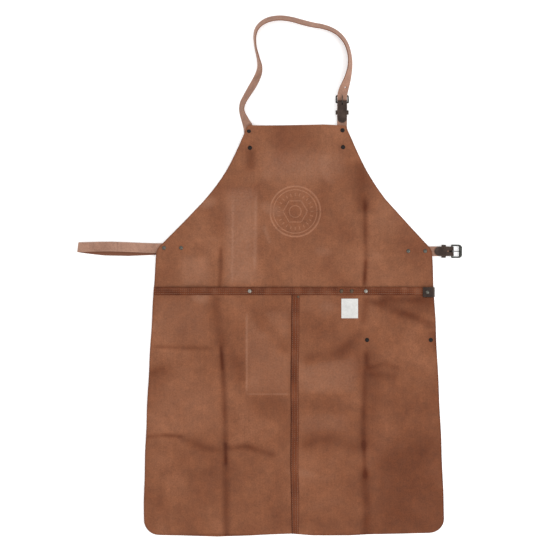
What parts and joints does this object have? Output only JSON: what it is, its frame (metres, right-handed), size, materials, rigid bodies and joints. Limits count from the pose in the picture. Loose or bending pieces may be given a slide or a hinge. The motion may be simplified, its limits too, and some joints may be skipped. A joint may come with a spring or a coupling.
{
  "type": "welding apron",
  "caption": "Brown suede welding apron lying flat: bib, full-width pocket layer, centre band, buckled leather neck strap and a riveted waist belt with a buckle.",
  "frame": {"origin": "underside of the skirt, on the panel's centre line, 194 mm above the hem; the apron lies on its back with its front face up", "axes": "+X the right side as seen from the front, +Y from the hem to the bib, +Z out of the front face, away from the wearer"},
  "size_m": [0.7869, 1.0639, 0.0205],
  "materials": {
    "suede_body": "matte split suede",
    "suede_pocket": "matte split suede",
    "band_leather": "matte leather binding with stitching",
    "strap_leather": "light natural strap leather",
    "dark_leather": "dark brown strap leather",
    "buckle_metal": "dark antique plating",
    "rivet_dark": "blackened, worn",
    "rivet_grey": "gunmetal",
    "rivet_silver": "satin nickel",
    "label_cloth": "plain woven label, no lettering"
  },
  "bodies": {
    "root": {"body_panel": "suede_body", "pocket_panel_left": "suede_pocket", "pocket_panel_right": "suede_pocket", "top_band": "band_leather", "centre_band": "band_leather", "label": "label_cloth", "neck_strap_anchor": "strap_leather", "neck_strap_bend": "strap_leather", "neck_tab_anchor": "strap_leather", "neck_tab_bend": "strap_leather", "belt_strap_anchor": "strap_leather", "belt_strap_bend": "strap_leather", "belt_tab_anchor": "strap_leather", "belt_tab_bend": "strap_leather", "side_loop_root": "dark_leather", "side_loop_fold": "dark_leather", "snap_stud": "rivet_silver", "bib_rivet_caps": "rivet_dark", "bib_rivet_backs": "rivet_dark", "waist_rivet_caps": "rivet_grey", "waist_rivet_backs": "rivet_grey", "band_rivet_caps": "rivet_silver", "band_rivet_backs": "rivet_silver", "pocket_rivet_caps": "rivet_dark", "pocket_rivet_backs": "rivet_dark", "seam_rivet": "rivet_silver"},
    "neck_loop": {"neck_strap": "strap_leather", "neck_tab": "strap_leather", "neck_chape": "dark_leather", "neck_keeper": "dark_leather", "neck_buckle_frame": "buckle_metal", "neck_prong": "buckle_metal"},
    "belt_front": {"belt_strap_front": "strap_leather", "belt_strap_fold": "strap_leather"},
    "belt_tail": {"belt_strap_tail": "strap_leather"},
    "belt_end": {"belt_tab": "strap_leather", "belt_chape": "dark_leather", "belt_keeper": "dark_leather"},
    "belt_buckle": {"belt_buckle_frame": "buckle_metal"},
    "belt_buckle_prong": {"belt_prong": "buckle_metal"},
    "side_flap": {"side_loop_flap": "dark_leather", "snap_cap": "rivet_silver", "snap_socket": "rivet_silver"}
  },
  "joints": [
    {"name": "neck_loop_lift", "type": "hinge", "parent": "root", "child": "neck_loop", "pos_m": [0, 0.6475, 0.0044], "axis": [1, 0, 0], "range_deg": [0, 80], "deforming": ["neck_strap_bend", "neck_tab_bend"]},
    {"name": "belt_strap_lift", "type": "hinge", "parent": "root", "child": "belt_front", "pos_m": [-0.284, 0.3935, 0.0044], "axis": [0, 1, 0], "range_deg": [0, 90], "deforming": ["belt_strap_bend"]},
    {"name": "belt_tail_unfold", "type": "hinge", "parent": "belt_front", "child": "belt_tail", "pos_m": [-0.44, 0.3915, 0.0029], "axis": [0, 1, 0], "range_deg": [0, 180], "deforming": ["belt_strap_fold"]},
    {"name": "belt_tab_lift", "type": "hinge", "parent": "root", "child": "belt_end", "pos_m": [0.284, 0.3865, 0.0044], "axis": [0, -1, 0], "range_deg": [0, 90], "deforming": ["belt_tab_bend"]},
    {"name": "belt_buckle_swing", "type": "hinge", "parent": "belt_end", "child": "belt_buckle", "pos_m": [0.3234, 0.3865, 0.0044], "axis": [0, -1, 0], "range_deg": [-90, 45]},
    {"name": "belt_prong_lift", "type": "hinge", "parent": "belt_buckle", "child": "belt_buckle_prong", "pos_m": [0.3234, 0.3865, 0.0044], "axis": [0, -1, 0], "range_deg": [0, 95]},
    {"name": "side_loop_open", "type": "hinge", "parent": "root", "child": "side_flap", "pos_m": [0.2848, 0.303, 0.0048], "axis": [0, 1, 0], "range_deg": [0, 165], "deforming": ["side_loop_fold"]}
  ]
}
